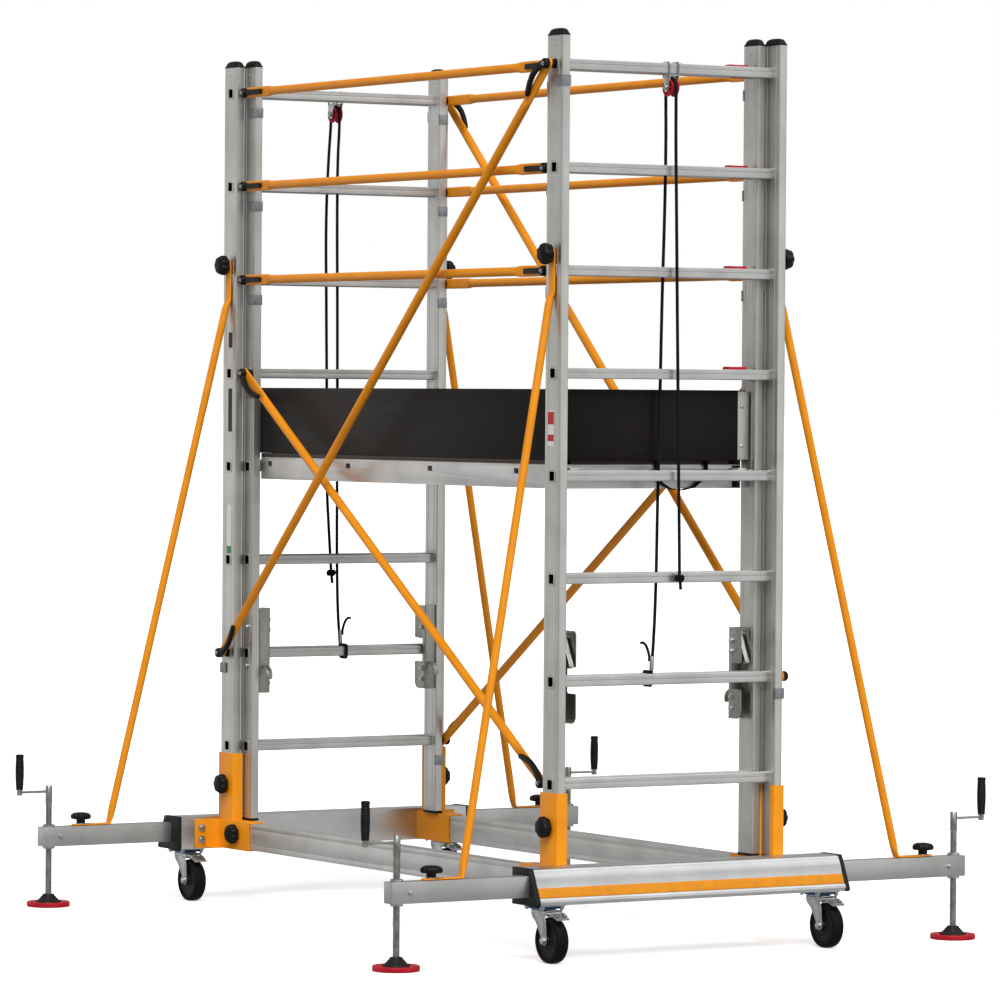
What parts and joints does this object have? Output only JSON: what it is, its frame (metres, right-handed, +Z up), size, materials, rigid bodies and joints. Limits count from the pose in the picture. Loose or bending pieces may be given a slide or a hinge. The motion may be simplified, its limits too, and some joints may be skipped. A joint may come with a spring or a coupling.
{
  "type": "mobile scaffold tower section",
  "caption": "Telescopic ladder-frame scaffold section on braked castors, with braced faces, boarded platform, outriggers with screw jacks, rung latches and hoist ropes.",
  "frame": {"origin": "on the floor under the middle of the tower", "axes": "+X along the tower, away from the left ladders; +Y across it, along the rungs, to the back; +Z up"},
  "size_m": [2.2061, 2.048, 2.527],
  "materials": {
    "aluminium": "mill finish extrusion",
    "yellow_paint": "powder coat",
    "black_plastic": "fine moulded texture",
    "zinc_steel": "galvanised",
    "red_plastic": "moulded",
    "black_rope": "braided polyester",
    "wheel_rubber": "solid tread",
    "film_plywood": "phenolic film faced"
  },
  "bodies": {
    "base": {"base_beams": "aluminium", "long_beams": "aluminium", "corner_brackets": "yellow_paint", "black_caps": "black_plastic", "clamp_knobs": "black_plastic", "base_fasteners": "zinc_steel", "outer_stiles": "aluminium", "outer_rungs": "aluminium", "outer_braces": "yellow_paint", "outer_levers": "black_plastic", "outer_clips": "zinc_steel", "pulley_hangers": "zinc_steel", "rope_right": "black_rope", "rope_left": "black_rope"},
    "fly_frame": {"fly_stiles": "aluminium", "fly_rungs": "aluminium", "fly_caps": "black_plastic", "fly_braces": "yellow_paint", "fly_levers": "black_plastic", "fly_clips": "zinc_steel", "rung_sleeves": "red_plastic", "latch_housings": "zinc_steel", "platform_frame": "aluminium", "deck_boards": "film_plywood", "toe_boards": "film_plywood"},
    "hatch": {"hatch": "film_plywood"},
    "sheave_right": {"sheave_right": "red_plastic"},
    "sheave_left": {"sheave_left": "red_plastic"},
    "latch_fr": {"latch_fr": "zinc_steel"},
    "arm_fr": {"arm_fr": "aluminium"},
    "foot_fr": {"foot_fr": "red_plastic"},
    "spindle_fr": {"spindle_fr": "zinc_steel"},
    "strut_fr": {"strut_fr": "yellow_paint"},
    "fork_fr": {"fork_fr": "zinc_steel"},
    "wheel_fr": {"wheel_fr": "wheel_rubber"},
    "pedal_fr": {"pedal_fr": "zinc_steel"},
    "latch_fl": {"latch_fl": "zinc_steel"},
    "arm_fl": {"arm_fl": "aluminium"},
    "foot_fl": {"foot_fl": "red_plastic"},
    "spindle_fl": {"spindle_fl": "zinc_steel"},
    "strut_fl": {"strut_fl": "yellow_paint"},
    "fork_fl": {"fork_fl": "zinc_steel"},
    "wheel_fl": {"wheel_fl": "wheel_rubber"},
    "pedal_fl": {"pedal_fl": "zinc_steel"},
    "latch_br": {"latch_br": "zinc_steel"},
    "arm_br": {"arm_br": "aluminium"},
    "foot_br": {"foot_br": "red_plastic"},
    "spindle_br": {"spindle_br": "zinc_steel"},
    "strut_br": {"strut_br": "yellow_paint"},
    "fork_br": {"fork_br": "zinc_steel"},
    "wheel_br": {"wheel_br": "wheel_rubber"},
    "pedal_br": {"pedal_br": "zinc_steel"},
    "latch_bl": {"latch_bl": "zinc_steel"},
    "arm_bl": {"arm_bl": "aluminium"},
    "foot_bl": {"foot_bl": "red_plastic"},
    "spindle_bl": {"spindle_bl": "zinc_steel"},
    "strut_bl": {"strut_bl": "yellow_paint"},
    "fork_bl": {"fork_bl": "zinc_steel"},
    "wheel_bl": {"wheel_bl": "wheel_rubber"},
    "pedal_bl": {"pedal_bl": "zinc_steel"}
  },
  "joints": [
    {"name": "fly_lift", "type": "slide", "parent": "base", "child": "fly_frame", "axis": [0, 0, 1], "range_m": [0, 1.4]},
    {"name": "hatch_swing", "type": "hinge", "parent": "fly_frame", "child": "hatch", "pos_m": [0.385, -0.2405, 1.356], "axis": [1, 0, 0], "range_deg": [0, 95]},
    {"name": "sheave_right_spin", "type": "hinge", "parent": "base", "child": "sheave_right", "pos_m": [0.914, 0.008, 2.379], "axis": [0, 1, 0], "continuous": true},
    {"name": "sheave_left_spin", "type": "hinge", "parent": "base", "child": "sheave_left", "pos_m": [-0.914, -0.008, 2.379], "axis": [0, 1, 0], "continuous": true},
    {"name": "latch_fr_swing", "type": "hinge", "parent": "fly_frame", "child": "latch_fr", "pos_m": [0.849, -0.29, 0.868], "axis": [0, -1, 0], "range_deg": [0, 12]},
    {"name": "arm_fr_slide", "type": "slide", "parent": "base", "child": "arm_fr", "axis": [0, 1, 0], "range_m": [0, 0.06]},
    {"name": "foot_fr_lift", "type": "slide", "parent": "arm_fr", "child": "foot_fr", "axis": [0, 0, 1], "range_m": [0, 0.12]},
    {"name": "spindle_fr_turn", "type": "hinge", "parent": "foot_fr", "child": "spindle_fr", "pos_m": [1.0203, -0.914, 0.2], "axis": [0, 0, 1], "range_deg": [0, 7200]},
    {"name": "strut_fr_swing", "type": "hinge", "parent": "base", "child": "strut_fr", "pos_m": [0.914, -0.373, 1.914], "axis": [0, -1, 0], "range_deg": [0, 45]},
    {"name": "castor_fr_swivel", "type": "hinge", "parent": "base", "child": "fork_fr", "pos_m": [1.0203, -0.451, 0.15], "axis": [0, 0, 1], "continuous": true},
    {"name": "wheel_fr_spin", "type": "hinge", "parent": "fork_fr", "child": "wheel_fr", "pos_m": [1.0593, -0.451, 0.0625], "axis": [0, 1, 0], "continuous": true},
    {"name": "pedal_fr_press", "type": "hinge", "parent": "fork_fr", "child": "pedal_fr", "pos_m": [1.0663, -0.451, 0.135], "axis": [0, 1, 0], "range_deg": [0, 12], "stiffness_Nm_per_rad": 3, "springref_deg": -5.73},
    {"name": "latch_fl_swing", "type": "hinge", "parent": "fly_frame", "child": "latch_fl", "pos_m": [-0.849, -0.29, 0.868], "axis": [0, 1, 0], "range_deg": [0, 12]},
    {"name": "arm_fl_slide", "type": "slide", "parent": "base", "child": "arm_fl", "axis": [0, 1, 0], "range_m": [0, 0.06]},
    {"name": "foot_fl_lift", "type": "slide", "parent": "arm_fl", "child": "foot_fl", "axis": [0, 0, 1], "range_m": [0, 0.12]},
    {"name": "spindle_fl_turn", "type": "hinge", "parent": "foot_fl", "child": "spindle_fl", "pos_m": [-1.0203, -0.914, 0.2], "axis": [0, 0, 1], "range_deg": [0, 7200]},
    {"name": "strut_fl_swing", "type": "hinge", "parent": "base", "child": "strut_fl", "pos_m": [-0.914, -0.373, 1.914], "axis": [0, 1, 0], "range_deg": [0, 45]},
    {"name": "castor_fl_swivel", "type": "hinge", "parent": "base", "child": "fork_fl", "pos_m": [-1.0203, -0.451, 0.15], "axis": [0, 0, 1], "continuous": true},
    {"name": "wheel_fl_spin", "type": "hinge", "parent": "fork_fl", "child": "wheel_fl", "pos_m": [-0.9813, -0.451, 0.0625], "axis": [0, 1, 0], "continuous": true},
    {"name": "pedal_fl_press", "type": "hinge", "parent": "fork_fl", "child": "pedal_fl", "pos_m": [-0.9743, -0.451, 0.135], "axis": [0, 1, 0], "range_deg": [0, 12], "stiffness_Nm_per_rad": 3, "springref_deg": -5.73},
    {"name": "latch_br_swing", "type": "hinge", "parent": "fly_frame", "child": "latch_br", "pos_m": [0.849, 0.29, 0.868], "axis": [0, -1, 0], "range_deg": [0, 12]},
    {"name": "arm_br_slide", "type": "slide", "parent": "base", "child": "arm_br", "axis": [0, -1, 0], "range_m": [0, 0.06]},
    {"name": "foot_br_lift", "type": "slide", "parent": "arm_br", "child": "foot_br", "axis": [0, 0, 1], "range_m": [0, 0.12]},
    {"name": "spindle_br_turn", "type": "hinge", "parent": "foot_br", "child": "spindle_br", "pos_m": [1.0203, 0.914, 0.2], "axis": [0, 0, 1], "range_deg": [0, 7200]},
    {"name": "strut_br_swing", "type": "hinge", "parent": "base", "child": "strut_br", "pos_m": [0.914, 0.373, 1.914], "axis": [0, -1, 0], "range_deg": [0, 45]},
    {"name": "castor_br_swivel", "type": "hinge", "parent": "base", "child": "fork_br", "pos_m": [1.0203, 0.451, 0.15], "axis": [0, 0, 1], "continuous": true},
    {"name": "wheel_br_spin", "type": "hinge", "parent": "fork_br", "child": "wheel_br", "pos_m": [1.0593, 0.451, 0.0625], "axis": [0, 1, 0], "continuous": true},
    {"name": "pedal_br_press", "type": "hinge", "parent": "fork_br", "child": "pedal_br", "pos_m": [1.0663, 0.451, 0.135], "axis": [0, 1, 0], "range_deg": [0, 12], "stiffness_Nm_per_rad": 3, "springref_deg": -5.73},
    {"name": "latch_bl_swing", "type": "hinge", "parent": "fly_frame", "child": "latch_bl", "pos_m": [-0.849, 0.29, 0.868], "axis": [0, 1, 0], "range_deg": [0, 12]},
    {"name": "arm_bl_slide", "type": "slide", "parent": "base", "child": "arm_bl", "axis": [0, -1, 0], "range_m": [0, 0.06]},
    {"name": "foot_bl_lift", "type": "slide", "parent": "arm_bl", "child": "foot_bl", "axis": [0, 0, 1], "range_m": [0, 0.12]},
    {"name": "spindle_bl_turn", "type": "hinge", "parent": "foot_bl", "child": "spindle_bl", "pos_m": [-1.0203, 0.914, 0.2], "axis": [0, 0, 1], "range_deg": [0, 7200]},
    {"name": "strut_bl_swing", "type": "hinge", "parent": "base", "child": "strut_bl", "pos_m": [-0.914, 0.373, 1.914], "axis": [0, 1, 0], "range_deg": [0, 45]},
    {"name": "castor_bl_swivel", "type": "hinge", "parent": "base", "child": "fork_bl", "pos_m": [-1.0203, 0.451, 0.15], "axis": [0, 0, 1], "continuous": true},
    {"name": "wheel_bl_spin", "type": "hinge", "parent": "fork_bl", "child": "wheel_bl", "pos_m": [-0.9813, 0.451, 0.0625], "axis": [0, 1, 0], "continuous": true},
    {"name": "pedal_bl_press", "type": "hinge", "parent": "fork_bl", "child": "pedal_bl", "pos_m": [-0.9743, 0.451, 0.135], "axis": [0, 1, 0], "range_deg": [0, 12], "stiffness_Nm_per_rad": 3, "springref_deg": -5.73}
  ],
  "couplings": [
    {"joint": "foot_fr_lift", "follows": "spindle_fr_turn", "m_per_rad": 0.00095493},
    {"joint": "foot_fl_lift", "follows": "spindle_fl_turn", "m_per_rad": 0.00095493},
    {"joint": "foot_br_lift", "follows": "spindle_br_turn", "m_per_rad": 0.00095493},
    {"joint": "foot_bl_lift", "follows": "spindle_bl_turn", "m_per_rad": 0.00095493}
  ]
}
